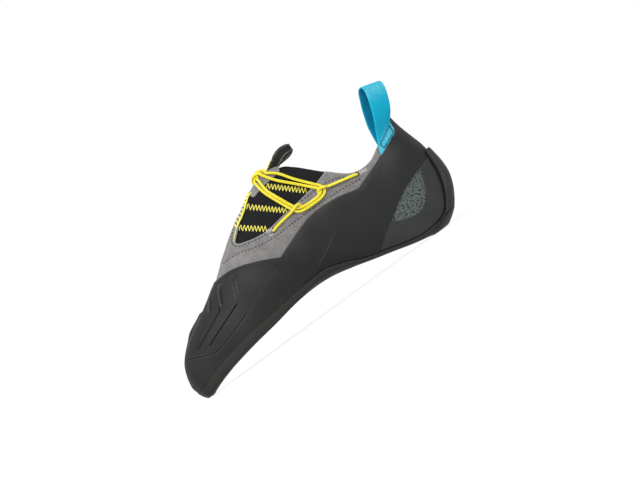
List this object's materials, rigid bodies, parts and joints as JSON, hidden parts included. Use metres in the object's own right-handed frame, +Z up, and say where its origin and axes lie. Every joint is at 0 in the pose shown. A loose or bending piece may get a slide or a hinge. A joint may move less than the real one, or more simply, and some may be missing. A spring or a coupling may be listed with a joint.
{
  "type": "climbing shoe",
  "caption": "Right climbing shoe standing on toe and heel: hollow grey suede upper with stretch throat, rubber rand, toe patch, heel sling, thin sole, lace loops and heel pull loop.",
  "frame": {"origin": "on the floor, below the middle of the shoe's box", "axes": "-X towards the toe and +X towards the heel, -Y the medial (big toe) side, +Z up from the floor"},
  "size_m": [0.2494, 0.0892, 0.1231],
  "materials": {
    "grey_suede": "matte",
    "black_elastic": "matte",
    "black_rubber": "satin",
    "grey_textured_rubber": "matte",
    "yellow_cord": "matte",
    "blue_webbing": "matte",
    "black_tape": "matte",
    "insole_board": "matte"
  },
  "bodies": {
    "root": {"upper": "grey_suede", "throat_panel": "black_elastic", "lace_keeper": "grey_suede", "tongue_tab": "black_tape", "outsole": "black_rubber", "insole": "insole_board", "rand": "black_rubber", "toe_patch": "black_rubber", "sling_rand": "black_rubber", "heel_cup": "black_rubber", "heel_insert_medial": "grey_textured_rubber", "heel_insert_lateral": "grey_textured_rubber", "heel_strip": "black_rubber", "heel_loop": "blue_webbing", "lace_loop_outer": "yellow_cord", "lace_loop_inner": "yellow_cord", "lace_tie_front_medial": "yellow_cord", "lace_tie_front_lateral": "yellow_cord", "lace_tie_rear_medial": "yellow_cord", "lace_tie_rear_lateral": "yellow_cord"}
  },
  "joints": []
}
